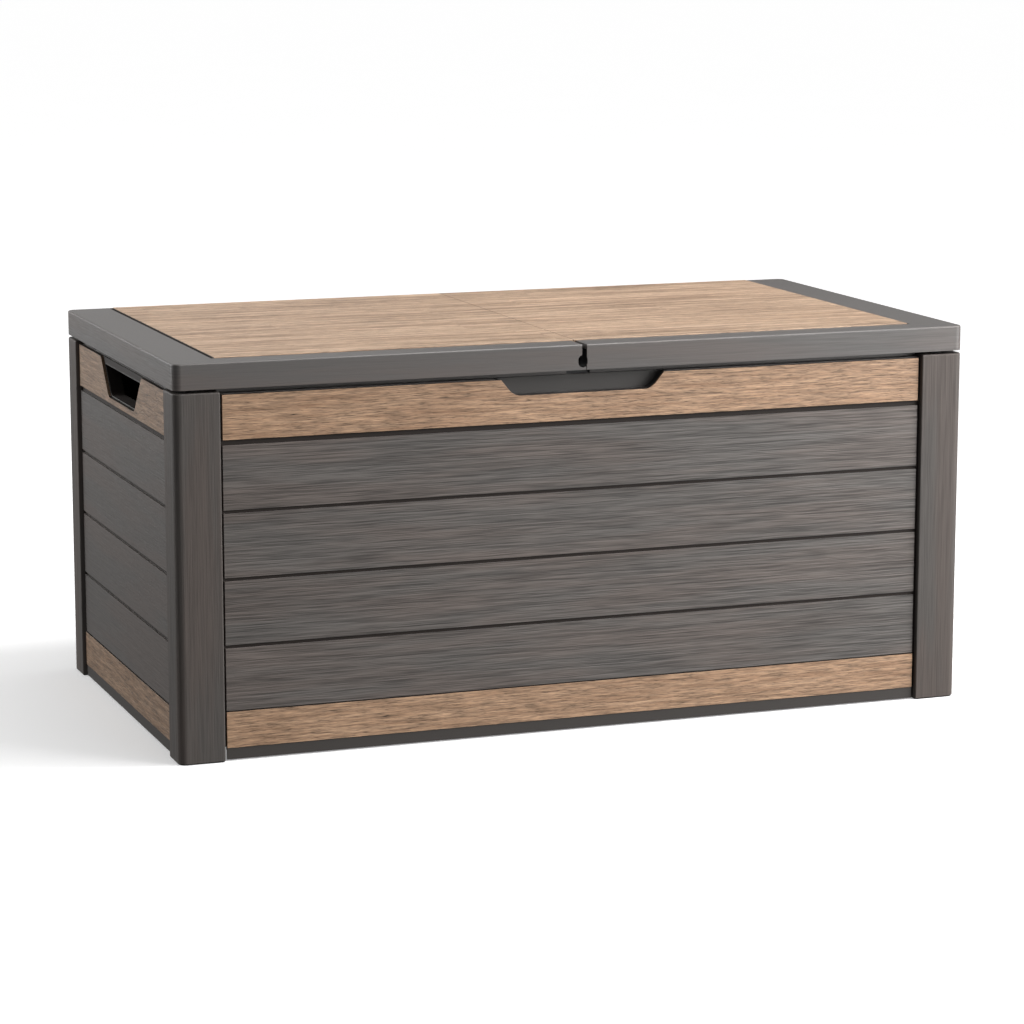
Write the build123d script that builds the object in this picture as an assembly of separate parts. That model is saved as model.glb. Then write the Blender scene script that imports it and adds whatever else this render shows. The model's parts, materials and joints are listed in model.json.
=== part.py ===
from build123d import *
import os
from math import cos, radians, sin

# Resin deck storage box: four moulded walls slotted into four hollow corner posts, a ribbed floor,
# clip-on wood-look bands, and a two-part lid on four pinned hinges with a gas strut at each end.
# Millimetres. +X runs along the width, -Y is the front, +Z is up. The origin is on the ground, mid-footprint.

# ---- overall size
WIDTH = 1200.0
DEPTH = 640.0
HEIGHT = 563.0
SKIN = 3.0                      # moulded wall thickness
HALF_W = WIDTH / 2
HALF_D = DEPTH / 2

# ---- corner posts
POST_X = 66.0                   # width of a post's front or back face
POST_Y = 56.0                   # width of a post's end face
POST_TOP = 520.5
POST_BOTTOM = 1.5
CORNER_R = 12.0
EDGE_R = 2.0

# ---- walls, in a local frame: X along the wall, Y inwards from the outer envelope, Z up
BAND_FACE = 5.0                 # outer face of the wood-look bands
PLANK_FACE = 6.0                # outer face of the planks
SHEET_FACE = 9.0                # outer face of the base sheet, seen in the grooves
SHEET_BACK = SHEET_FACE + SKIN
RIB_BACK = 22.0
RIB_T = 2.5
SIDE_GAP = 4.0                  # shadow gap between a wall and its posts
TONGUE = 12.0                   # how far a wall's edge enters the post's slot
TONGUE_TOP, SLOT_TOP = 512.0, 513.0
SLOT_FIT = 0.3                  # gap on each side of a tongue in its slot
FRONT_HALF = HALF_W - POST_X - SIDE_GAP
END_HALF = HALF_D - POST_Y - SIDE_GAP
SKIRT_BOTTOM, SKIRT_TOP = 2.0, 18.2
LEDGE_BOTTOM, LEDGE_TOP, LEDGE_BACK = 20.0, 23.0, 24.0
LOW_BAND = (18.7, 70.0)
HIGH_BAND = (453.0, 516.0)
PLANKS_BOTTOM, PLANKS_TOP = 71.5, 445.4
GROOVE = 5.0
GROOVE_CENTRES = (162.5, 257.5, 352.6)
SHEET_TOP = 516.0
RIB_TOP = 450.0
FRONT_RIB_PITCH, FRONT_RIBS = 118.0, 4
END_RIB_PITCH, END_RIBS = 80.0, 3

# ---- pegs that fasten the bands
PEG_R, PEG_END = 3.0, 16.0
PEG_COUNT, PEG_SPREAD = 5, 0.84     # the outer pegs stand at this share of the band's half length
LOW_PEG_Z, HIGH_PEG_Z = 44.0, 470.0
HIGH_PEG_SKIP = 130.0           # no pegs on the upper bands nearer the middle than this

# ---- rims on the walls' top edges
RIM_BACK = 28.0
RIM_BOTTOM, RIM_TOP = 508.0, 517.0
LIP_T, LIP_TOP = 3.0, 534.0     # rain lip that stands up from the rims' inner edges, inside the lid
BACK_LIP_HALF = 500.0           # the back lip stops short of the gas struts

# ---- openings in the walls: half widths at the bottom and the top, and heights
GRIP_HALF_LOW, GRIP_HALF_HIGH, GRIP_BOTTOM = 105.0, 124.0, 492.5
GRIP_CORNER_R = 24.0
GRIP_BACK = 24.0
GRIP_SIDE_ROOM = 6.0            # how far the front rim's rails stop short of the grip
HAND_HALF_LOW, HAND_HALF_HIGH, HAND_BOTTOM = 77.0, 122.0, 461.0
HAND_TOP = 507.5
HAND_CORNER_R = 18.0
HAND_FRAME_BACK = 30.0
LINER_T = 2.5
FIT = 0.2                       # gap between parts that are pushed together

# ---- floor
FLOOR_TOP = LEDGE_TOP + SKIN
FLOOR_RIB_BOTTOM = 5.0
FLOOR_RIB_X0, FLOOR_RIB_PITCH = 60.0, 100.0
FLOOR_RIB_COUNT_X, FLOOR_RIB_COUNT_Y = 6, 6
FLOOR_BEAM_HALF, FLOOR_BEAM_REACH = 14.0, 290.0

# ---- lid
LID_BOTTOM = 525.0
BORDER_TOP = 561.5              # top of the grey border; the wood-look panels stand proud of it
PANEL_SEAT = 557.5
LID_UNDERSIDE = PANEL_SEAT - SKIN
END_CAP = 66.0                  # width of the border at each end
TOP_GROOVE = 4.0                # groove between a panel and its end cap
FRONT_BORDER = 44.0
BACK_BORDER = 8.0
SEAM_GAP = 0.25                 # each half's distance from the middle
SLIT_LEFT, SLIT_RIGHT = -3.7, 3.6
LID_RIB_BOTTOM = 540.5
LID_RIB_XS = (96.0, 192.0, 288.0, 384.0, 480.0, 576.0)
LID_RIB_YS = (-216.0, -108.0, 0.0, 108.0, 216.0)
LID_RIB_BACK = 265.0
BRACE_YS = {"front": -162.0, "rear": 162.0}
BRACE_HALF_X, BRACE_W, BRACE_H, BRACE_WALL = 500.0, 20.0, 10.0, 1.5
BRACE_SCREW_XS = (60.0, 250.0, 440.0)
CLIP_REACH, CLIP_WALL = 262.0, 2.0
LUG_H = 4.5                     # bridge under the keyhole, on the left half
BUFFER_X, BUFFER_Y, BUFFER_R, BUFFER_TOP = 567.0, 292.0, 9.0, 526.0

# ---- padlock eye: a plate behind the front rim, its hole in line with the keyhole in the lid's skirt
LOCK_X, LOCK_Z, LOCK_R = -2.5, 537.5, 7.0
KEYHOLE_STRETCH = 1.8           # the keyhole is this much longer than round, up and down
STAPLE_T, STAPLE_HALF, STAPLE_BOTTOM, STAPLE_TOP = 3.0, 18.0, 505.0, 551.0
STAPLE_CORNER_R = 8.0
STAPLE_SCREW_X, STAPLE_SCREW_Z = 11.0, 512.5

# ---- hinges
HINGE_Y, HINGE_Z = 312.5, 532.0
HINGE_XS = (-430.0, -190.0, 190.0, 430.0)
PIN_R, KNUCKLE_R, RUN = 3.0, 7.0, 0.05
LEAF_HALF, BASE_HALF, LEAF_T = 29.0, 14.0, 2.5
HINGE_NOTCH_HALF, HINGE_NOTCH_TOP = 34.0, 542.0
ARM_FRONT, ARM_BACK = 305.5, 310.0
HINGE_SCREW_X, HINGE_SCREW_Y = 9.0, 300.2
LEAF_SCREW_X, LEAF_SCREW_Y = 22.0, 285.0
LID_LEAF_FRONT = 270.0

# ---- gas struts: both pivots lie at STRUT_ARM from the hinge axis, so tube and rod stay in line
STRUT_ARM = 170.0
STRUT_LID_ANGLE, STRUT_BODY_ANGLE = 2.0, -74.0      # degrees above the forward horizontal, lid closed
STRUT_X = 522.0
STUD_R, EYE_R, EYE_HALF = 3.5, 8.0, 5.0
TUBE_R, TUBE_WALL, TUBE_START, TUBE_END = 8.5, 1.0, 16.0, 184.0
TUBE_PLUG, TUBE_GUIDE = 8.0, 10.0
ROD_R, ROD_START, ROD_END = 4.0, 12.0, 183.3
PISTON_R, PISTON_L = 7.2, 8.0
NECK_R, NECK_END = 5.5, 20.0
BRACKET_T = 3.0
STUD_ROOT, STUD_NECK, STUD_END = 9.0, 6.0, 7.5      # along X from the strut's centre line
POST_PLATE_FRONT, POST_PLATE_END, POST_PLATE_HALF_Z = 12.0, 304.0, 18.0
POST_SCREW_Y, POST_SCREW_Z = 291.0, 10.0
LID_PLATE_END, LID_PLATE_HALF_Y = 560.0, 20.0
LID_CHEEK_HALF_Y, LID_CHEEK_DROP = 14.0, 10.0
LID_PLATE_SCREW_X, LID_PLATE_SCREW_Y = 552.0, 12.0
STRUT_LID = (HINGE_Y - STRUT_ARM * cos(radians(STRUT_LID_ANGLE)),
             HINGE_Z + STRUT_ARM * sin(radians(STRUT_LID_ANGLE)))
STRUT_BODY = (HINGE_Y - STRUT_ARM * cos(radians(STRUT_BODY_ANGLE)),
              HINGE_Z + STRUT_ARM * sin(radians(STRUT_BODY_ANGLE)))

# ---- screws
SCREW_R, SCREW_HEAD_R, SCREW_HEAD_H, SCREW_HOLE_R = 2.0, 4.2, 2.5, 2.1
LID_SCREW_TIP = LID_UNDERSIDE + 2.7
FLOOR_SCREW_XS = (100.0, 300.0, 480.0)
FLOOR_SCREW_INSET = 18.0

parts = {}


# ---- shape helpers

def slab(x0, x1, y0, y1, z0, z1):
    """A box between two corners."""
    return Pos((x0 + x1) / 2, (y0 + y1) / 2, (z0 + z1) / 2) * Box(x1 - x0, y1 - y0, z1 - z0)


def rod_x(x0, x1, y, z, radius):
    """A cylinder along X."""
    return Pos((x0 + x1) / 2, y, z) * Rot(0, 90, 0) * Cylinder(radius, x1 - x0)


def rod_y(x, y0, y1, z, radius):
    """A cylinder along Y."""
    return Pos(x, (y0 + y1) / 2, z) * Rot(90, 0, 0) * Cylinder(radius, y1 - y0)


def rod_z(x, y, z0, z1, radius):
    """A cylinder along Z."""
    return Pos(x, y, (z0 + z1) / 2) * Cylinder(radius, z1 - z0)


def mirrored(shape):
    """The same shape on the other side of the middle plane X = 0."""
    return mirror(shape, about=Plane.YZ)


def taper_prism(half_low, half_high, z_low, z_high, radius, y0, y1):
    """A prism along Y whose outline is a trapezoid, wider at the top, with rounded lower corners."""
    outline = make_face(Polyline((-half_low, z_low), (half_low, z_low),
                                 (half_high, z_high), (-half_high, z_high), close=True))
    lower = outline.vertices().sort_by(Axis.Y)[:2]
    outline = fillet(lower, radius)
    plane = Plane(origin=(0, y1, 0), x_dir=(1, 0, 0), z_dir=(0, -1, 0))
    return extrude(plane * outline, y1 - y0)


def hand_half(z):
    """Half width of the hand hole's outline at height z."""
    share = (z - HAND_BOTTOM) / (HIGH_BAND[1] - HAND_BOTTOM)
    return HAND_HALF_LOW + share * (HAND_HALF_HIGH - HAND_HALF_LOW)


def at_front(shape):
    """Moves a wall-frame shape to the front."""
    return Pos(0, -HALF_D, 0) * shape


def at_back(shape):
    """Moves a wall-frame shape to the back."""
    return Pos(0, HALF_D, 0) * Rot(0, 0, 180) * shape


def at_left(shape):
    """Moves a wall-frame shape to the left end."""
    return Pos(-HALF_W, 0, 0) * Rot(0, 0, -90) * shape


def at_right(shape):
    """Moves a wall-frame shape to the right end."""
    return Pos(HALF_W, 0, 0) * Rot(0, 0, 90) * shape


# ---- walls

def plank_spans():
    """Bottom and top of each plank, from the lowest up."""
    edges = [PLANKS_BOTTOM]
    for centre in GROOVE_CENTRES:
        edges += [centre - GROOVE / 2, centre + GROOVE / 2]
    edges.append(PLANKS_TOP)
    return list(zip(edges[0::2], edges[1::2]))


def wall_profile():
    """Section of a wall, as (inward, up) points: a sheet of even thickness, folded out at each plank."""
    outer = [(PLANK_FACE, SKIRT_BOTTOM), (PLANK_FACE, SKIRT_TOP), (SHEET_FACE, SKIRT_TOP)]
    inner = [(SHEET_FACE, SKIRT_BOTTOM), (SHEET_FACE, SKIRT_TOP - SKIN), (SHEET_BACK, SKIRT_TOP - SKIN),
             (SHEET_BACK, LEDGE_BOTTOM), (LEDGE_BACK, LEDGE_BOTTOM), (LEDGE_BACK, LEDGE_TOP),
             (SHEET_BACK, LEDGE_TOP)]
    for low, high in plank_spans():
        outer += [(SHEET_FACE, low), (PLANK_FACE, low), (PLANK_FACE, high), (SHEET_FACE, high)]
        inner += [(SHEET_BACK, low + SKIN), (SHEET_FACE, low + SKIN),
                  (SHEET_FACE, high - SKIN), (SHEET_BACK, high - SKIN)]
    outer.append((SHEET_FACE, SHEET_TOP))
    inner.append((SHEET_BACK, SHEET_TOP))
    return outer + inner[::-1]


def wall(half, rib_pitch, ribs_each_side):
    """A plain wall with its tongues and inner ribs."""
    section = make_face(Polyline(*wall_profile(), close=True))
    plane = Plane(origin=(-half, 0, 0), x_dir=(0, 1, 0), z_dir=(1, 0, 0))
    body = extrude(plane * section, 2 * half)
    reach = half + SIDE_GAP + TONGUE
    body += slab(-reach, reach, SHEET_FACE, SHEET_BACK, LEDGE_BOTTOM, TONGUE_TOP)
    for i in range(-ribs_each_side, ribs_each_side + 1):
        x = i * rib_pitch
        body += slab(x - RIB_T / 2, x + RIB_T / 2, SHEET_FACE, RIB_BACK, FLOOR_TOP + FIT, RIB_TOP)
    return body


def peg_places(half, level):
    """Where a band's pegs go through the wall's sheet."""
    outer = PEG_SPREAD * half
    return [(-outer + i * 2 * outer / (PEG_COUNT - 1), level) for i in range(PEG_COUNT)]


def pegs(half):
    """Peg places of both bands on a wall."""
    high = [(x, z) for x, z in peg_places(half, HIGH_PEG_Z) if abs(x) > HIGH_PEG_SKIP]
    return peg_places(half, LOW_PEG_Z), high


def drill_pegs(body, half):
    """Cuts the holes for both bands' pegs."""
    low, high = pegs(half)
    for x, z in low + high:
        body -= rod_y(x, SHEET_FACE - 1, PEG_END + FIT, z, PEG_R + FIT)
    return body


def band(half, span, peg_list, opening=None):
    """A wood-look band with its pegs."""
    body = slab(-half, half, BAND_FACE, SHEET_FACE, *span)
    if opening is not None:
        body -= opening
    for x, z in peg_list:
        body += rod_y(x, SHEET_FACE - 1, PEG_END, z, PEG_R)
    return body


def rim(half, lip_half=None):
    """The U-shaped rail that stiffens a wall's top edge, open below, with a rain lip on its inner edge."""
    reach = half + SIDE_GAP - FIT
    body = slab(-reach, reach, SHEET_BACK, RIM_BACK, RIM_BOTTOM, RIM_TOP)
    body -= slab(-reach - 1, reach + 1, SHEET_BACK + SKIN, RIM_BACK - SKIN, RIM_BOTTOM - 1, RIM_TOP - SKIN)
    lip = reach if lip_half is None else lip_half
    return body + slab(-lip, lip, RIM_BACK - LIP_T, RIM_BACK, RIM_TOP - SKIN, LIP_TOP)


def front_rails():
    """The front rim: two rails, one each side of the grip."""
    stop = GRIP_HALF_HIGH + GRIP_SIDE_ROOM
    return rim(FRONT_HALF) - slab(-stop, stop, 0, RIM_BACK + 1, RIM_BOTTOM - 1, LIP_TOP + 1)


def front_bridge():
    """The upright strip that joins the front rails behind the grip and carries the padlock eye."""
    stop = GRIP_HALF_HIGH + GRIP_SIDE_ROOM
    body = slab(-stop, stop, RIM_BACK - LIP_T, RIM_BACK, RIM_BOTTOM, LIP_TOP)
    body -= slab(-STAPLE_HALF, STAPLE_HALF, GRIP_BACK, RIM_BACK + 1, RIM_TOP, LIP_TOP + 1)
    for side in (-1, 1):
        body -= rod_y(side * STAPLE_SCREW_X, GRIP_BACK, RIM_BACK + 1, STAPLE_SCREW_Z, SCREW_HOLE_R)
    return body


def grip_outline(grow, y0, y1, top):
    """The front grip's outline as a prism, grown sideways and downwards."""
    slope = (GRIP_HALF_HIGH - GRIP_HALF_LOW) / (HIGH_BAND[1] - GRIP_BOTTOM)
    bottom = GRIP_BOTTOM - grow
    low = GRIP_HALF_LOW + grow
    high = low + slope * (top - bottom)
    return taper_prism(low, high, bottom, top, GRIP_CORNER_R, y0, y1)


def hand_outline(shrink, y0, y1, top):
    """The hand hole's outline as a prism, shrunk all round."""
    bottom = HAND_BOTTOM + shrink
    return taper_prism(hand_half(bottom) - shrink, hand_half(top) - shrink, bottom, top,
                       HAND_CORNER_R - shrink, y0, y1)


def build_walls():
    """Walls, bands, rims, the front grip and the hand-hole frames."""
    front = drill_pegs(wall(FRONT_HALF, FRONT_RIB_PITCH, FRONT_RIBS), FRONT_HALF)
    end = drill_pegs(wall(END_HALF, END_RIB_PITCH, END_RIBS), END_HALF)
    parts["back_wall"] = at_back(front)
    parts["front_wall"] = at_front(front - grip_outline(LINER_T + FIT, 0, RIB_BACK, SHEET_TOP + 1))
    holed = end - hand_outline(-FIT, 0, SHEET_BACK + 1, HAND_TOP + FIT)
    parts["left_wall"] = at_left(holed)
    parts["right_wall"] = at_right(holed)

    front_low, front_high = pegs(FRONT_HALF)
    end_low, end_high = pegs(END_HALF)
    grip_cut = grip_outline(0, 0, SHEET_FACE + 1, HIGH_BAND[1] + 1)
    hand_cut = taper_prism(HAND_HALF_LOW, hand_half(HIGH_BAND[1] + 1), HAND_BOTTOM, HIGH_BAND[1] + 1,
                           HAND_CORNER_R, 0, SHEET_FACE + 1)
    parts["front_upper_band"] = at_front(band(FRONT_HALF, HIGH_BAND, front_high, grip_cut))
    parts["back_upper_band"] = at_back(band(FRONT_HALF, HIGH_BAND, front_high))
    parts["front_lower_band"] = at_front(band(FRONT_HALF, LOW_BAND, front_low))
    parts["back_lower_band"] = at_back(band(FRONT_HALF, LOW_BAND, front_low))
    upper = band(END_HALF, HIGH_BAND, end_high, hand_cut)
    lower = band(END_HALF, LOW_BAND, end_low)
    parts["left_upper_band"], parts["right_upper_band"] = at_left(upper), at_right(upper)
    parts["left_lower_band"], parts["right_lower_band"] = at_left(lower), at_right(lower)

    parts["front_rim"] = at_front(front_rails())
    parts["front_rim_bridge"] = at_front(front_bridge())
    back_rim = rim(FRONT_HALF, BACK_LIP_HALF)
    for x in HINGE_XS:
        for side in (-1, 1):
            back_rim -= rod_z(x + side * HINGE_SCREW_X, HALF_D - HINGE_SCREW_Y, RIM_TOP - SKIN - 1,
                              RIM_TOP + 1, SCREW_HOLE_R)
    parts["back_rim"] = at_back(back_rim)
    parts["left_rim"], parts["right_rim"] = at_left(rim(END_HALF)), at_right(rim(END_HALF))

    tray = grip_outline(LINER_T, SHEET_FACE, GRIP_BACK, RIM_TOP)
    tray -= grip_outline(0, 0, GRIP_BACK - LINER_T, RIM_TOP + 1)
    parts["front_grip_pocket"] = at_front(tray)
    frame = hand_outline(0, SHEET_FACE + FIT, HAND_FRAME_BACK, HAND_TOP)
    frame -= hand_outline(LINER_T, 0, HAND_FRAME_BACK + 1, HAND_TOP - LINER_T)
    parts["left_hand_hole_frame"], parts["right_hand_hole_frame"] = at_left(frame), at_right(frame)


# ---- corner posts, feet and buffers

def post():
    """The front-left post: a hollow tube, closed on top, slotted for the walls' tongues."""
    x0, x1 = -HALF_W, -HALF_W + POST_X
    y0, y1 = -HALF_D, -HALF_D + POST_Y
    body = slab(x0, x1, y0, y1, POST_BOTTOM, POST_TOP)
    corner = body.edges().filter_by(Axis.Z).sort_by(Axis.X)[:2].sort_by(Axis.Y)[:1]
    body = fillet(corner, CORNER_R)
    others = body.edges().filter_by(Axis.Z)
    others = others.filter_by(lambda e: e.center().X > x1 - 1 or e.center().Y > y1 - 1)
    body = fillet(others, EDGE_R)
    body = fillet(body.faces().sort_by(Axis.Z)[-1].edges(), EDGE_R)
    inside = slab(x0 + SKIN, x1 - SKIN, y0 + SKIN, y1 - SKIN, 0, POST_TOP - SKIN)
    inner_corner = inside.edges().filter_by(Axis.Z).sort_by(Axis.X)[:2].sort_by(Axis.Y)[:1]
    body -= fillet(inner_corner, CORNER_R - SKIN)
    near, far = SHEET_FACE - SLOT_FIT, SHEET_BACK + SLOT_FIT
    front_slot = slab(x1 - SKIN - 1, x1 + 1, y0 + near, y0 + far, 0, SLOT_TOP)
    end_slot = slab(x0 + near, x0 + far, y1 - SKIN - 1, y1 + 1, 0, SLOT_TOP)
    return body - front_slot - end_slot


def foot_plug():
    """The plug that closes the front-left post and stands on the ground."""
    x0, x1 = -HALF_W, -HALF_W + POST_X
    y0, y1 = -HALF_D, -HALF_D + POST_Y
    inset, height = 1.5, 14.0
    flange = slab(x0 + inset, x1 - inset, y0 + inset, y1 - inset, 0, POST_BOTTOM)
    corner = flange.edges().filter_by(Axis.Z).sort_by(Axis.X)[:2].sort_by(Axis.Y)[:1]
    flange = fillet(corner, CORNER_R - inset)
    gap = SKIN + FIT
    ring = slab(x0 + gap, x1 - gap, y0 + gap, y1 - gap, POST_BOTTOM, height)
    corner = ring.edges().filter_by(Axis.Z).sort_by(Axis.X)[:2].sort_by(Axis.Y)[:1]
    ring = fillet(corner, CORNER_R - gap)
    hollow = slab(x0 + gap + SKIN, x1 - gap - SKIN, y0 + gap + SKIN, y1 - gap - SKIN, POST_BOTTOM, height + 1)
    return flange + ring - hollow


def build_posts():
    """Four posts, their feet, and the rubber buffers that carry the closed lid."""
    corner, plug = post(), foot_plug()
    to_back = lambda shape: mirror(shape, about=Plane.XZ)
    bracket_holes = [rod_x(HALF_W - POST_X - 1, HALF_W - POST_X + SKIN + 1, y, z, SCREW_HOLE_R)
                     for y, z in post_bracket_screws()]
    back_right = mirrored(to_back(corner))
    for hole in bracket_holes:
        back_right -= hole
    parts["front_left_post"] = corner
    parts["front_right_post"] = mirrored(corner)
    parts["back_right_post"] = back_right
    parts["back_left_post"] = mirrored(back_right)
    parts["foot_plugs"] = Compound([plug, mirrored(plug), to_back(plug), mirrored(to_back(plug))])
    buffers = []
    for sx in (-1, 1):
        for sy in (-1, 1):
            pad = rod_z(sx * BUFFER_X, sy * BUFFER_Y, POST_TOP, BUFFER_TOP, BUFFER_R)
            buffers.append(pad)
    parts["lid_buffers"] = Compound(buffers)


# ---- floor

def build_floor():
    """Two ribbed floor panels that lie on the walls' ledges, and the beam under their seam."""
    edge_x, edge_y = HALF_W - SHEET_BACK - FIT, HALF_D - SHEET_BACK - FIT
    half = slab(FIT, edge_x, -edge_y, edge_y, LEDGE_TOP, FLOOR_TOP)
    for sign in (-1, 1):
        y_post = HALF_D - POST_Y - FIT
        half -= slab(HALF_W - POST_X - FIT, HALF_W, min(sign * y_post, sign * HALF_D),
                     max(sign * y_post, sign * HALF_D), LEDGE_BOTTOM, FLOOR_TOP + 1)
    rib_end_x = FLOOR_RIB_X0 + (FLOOR_RIB_COUNT_X - 1) * FLOOR_RIB_PITCH
    rib_end_y = (FLOOR_RIB_COUNT_Y - 1) / 2 * FLOOR_RIB_PITCH
    for i in range(FLOOR_RIB_COUNT_Y):
        y = i * FLOOR_RIB_PITCH - rib_end_y
        half += slab(FLOOR_BEAM_HALF + 2, rib_end_x, y - RIB_T / 2, y + RIB_T / 2,
                     FLOOR_RIB_BOTTOM, LEDGE_TOP)
    for i in range(FLOOR_RIB_COUNT_X):
        x = FLOOR_RIB_X0 + i * FLOOR_RIB_PITCH
        half += slab(x - RIB_T / 2, x + RIB_T / 2, -rib_end_y, rib_end_y, FLOOR_RIB_BOTTOM, LEDGE_TOP)
    for x, y in floor_screws():
        if x > 0:
            half -= rod_z(x, y, LEDGE_BOTTOM - 1, FLOOR_TOP + 1, SCREW_HOLE_R)
    parts["floor_right"] = half
    parts["floor_left"] = mirrored(half)
    reach = FLOOR_BEAM_REACH
    beam = slab(-FLOOR_BEAM_HALF, FLOOR_BEAM_HALF, -reach, reach, FLOOR_RIB_BOTTOM, LEDGE_TOP)
    beam -= slab(-FLOOR_BEAM_HALF + SKIN, FLOOR_BEAM_HALF - SKIN, -reach - 1, reach + 1,
                 FLOOR_RIB_BOTTOM - 1, LEDGE_TOP - SKIN)
    parts["floor_seam_beam"] = beam


def floor_screws():
    """Places of the screws that hold the floor to the front and back walls' ledges."""
    y = HALF_D - FLOOR_SCREW_INSET
    return [(sx * x, sy * y) for x in FLOOR_SCREW_XS for sx in (-1, 1) for sy in (-1, 1)]


# ---- lid

def lid_half():
    """The right half of the lid's shell, before the slit and the keyhole are cut."""
    body = slab(SEAM_GAP, HALF_W, -HALF_D, HALF_D, LID_BOTTOM, BORDER_TOP)
    corners = body.edges().filter_by(Axis.Z).sort_by(Axis.X)[-2:]
    body = fillet(corners, CORNER_R)
    top_rim = body.faces().sort_by(Axis.Z)[-1].edges().filter_by(lambda e: e.center().X > SEAM_GAP + 1)
    body = fillet(top_rim, SKIN - 0.5)
    inside = slab(SEAM_GAP + SKIN, HALF_W - SKIN, -HALF_D + SKIN, HALF_D - SKIN,
                  LID_BOTTOM - 1, LID_UNDERSIDE)
    body -= fillet(inside.edges().filter_by(Axis.Z).sort_by(Axis.X)[-2:], CORNER_R - SKIN)
    seam_wall = SEAM_GAP + SKIN + 1
    body -= slab(0, seam_wall, -HALF_D + FRONT_BORDER, HALF_D - BACK_BORDER, LID_BOTTOM - 1, LID_BOTTOM + 5)
    body -= slab(0, seam_wall, LID_RIB_BACK, HALF_D - SKIN, LID_BOTTOM - 1, LID_RIB_BOTTOM)

    for y in LID_RIB_YS:
        body += slab(SEAM_GAP + SKIN - 1, HALF_W - SKIN + 1, y - RIB_T / 2, y + RIB_T / 2,
                     LID_RIB_BOTTOM, LID_UNDERSIDE + 1)
    for x in LID_RIB_XS:
        body += slab(x - RIB_T / 2, x + RIB_T / 2, -HALF_D + SKIN - 1, LID_RIB_BACK,
                     LID_RIB_BOTTOM, LID_UNDERSIDE + 1)
    for sy in (-1, 1):
        body += rod_z(BUFFER_X, sy * BUFFER_Y, BUFFER_TOP, LID_UNDERSIDE + 1, BUFFER_R + 2)
    half_w, brace_low = BRACE_W / 2 + FIT, LID_UNDERSIDE - BRACE_H
    for y in BRACE_YS.values():
        body -= slab(0, BRACE_HALF_X + FIT, y - half_w, y + half_w, brace_low - FIT, LID_UNDERSIDE)

    seat_x = HALF_W - END_CAP
    body -= slab(0, seat_x, -HALF_D + FRONT_BORDER, HALF_D - BACK_BORDER, PANEL_SEAT, HEIGHT)
    for x in HINGE_XS:
        if x > 0:
            body -= slab(x - HINGE_NOTCH_HALF, x + HINGE_NOTCH_HALF, HALF_D - SKIN - 1, HALF_D + 1,
                         LID_BOTTOM - 1, HINGE_NOTCH_TOP)
    return body


def lid_screw_places():
    """Places (x, y, seat height) of the screws driven up into the lid."""
    under_leaf = LID_UNDERSIDE - LEAF_T
    places = [(x + side * LEAF_SCREW_X, LEAF_SCREW_Y, under_leaf) for x in HINGE_XS for side in (-1, 1)]
    places += [(side * LID_PLATE_SCREW_X, STRUT_LID[0] + end * LID_PLATE_SCREW_Y, under_leaf)
               for side in (-1, 1) for end in (-1, 1)]
    places += [(side * x, y, LID_UNDERSIDE - BRACE_H)
               for y in BRACE_YS.values() for x in BRACE_SCREW_XS for side in (-1, 1)]
    return places


def keyhole():
    """The upright keyhole in the front of the lid."""
    y0, y1 = -HALF_D - 1, -HALF_D + SKIN + 1
    low, high = LOCK_Z - KEYHOLE_STRETCH, LOCK_Z + KEYHOLE_STRETCH
    ends = rod_y(LOCK_X, y0, y1, low, LOCK_R) + rod_y(LOCK_X, y0, y1, high, LOCK_R)
    return ends + slab(LOCK_X - LOCK_R, LOCK_X + LOCK_R, y0, y1, low, high)


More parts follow.
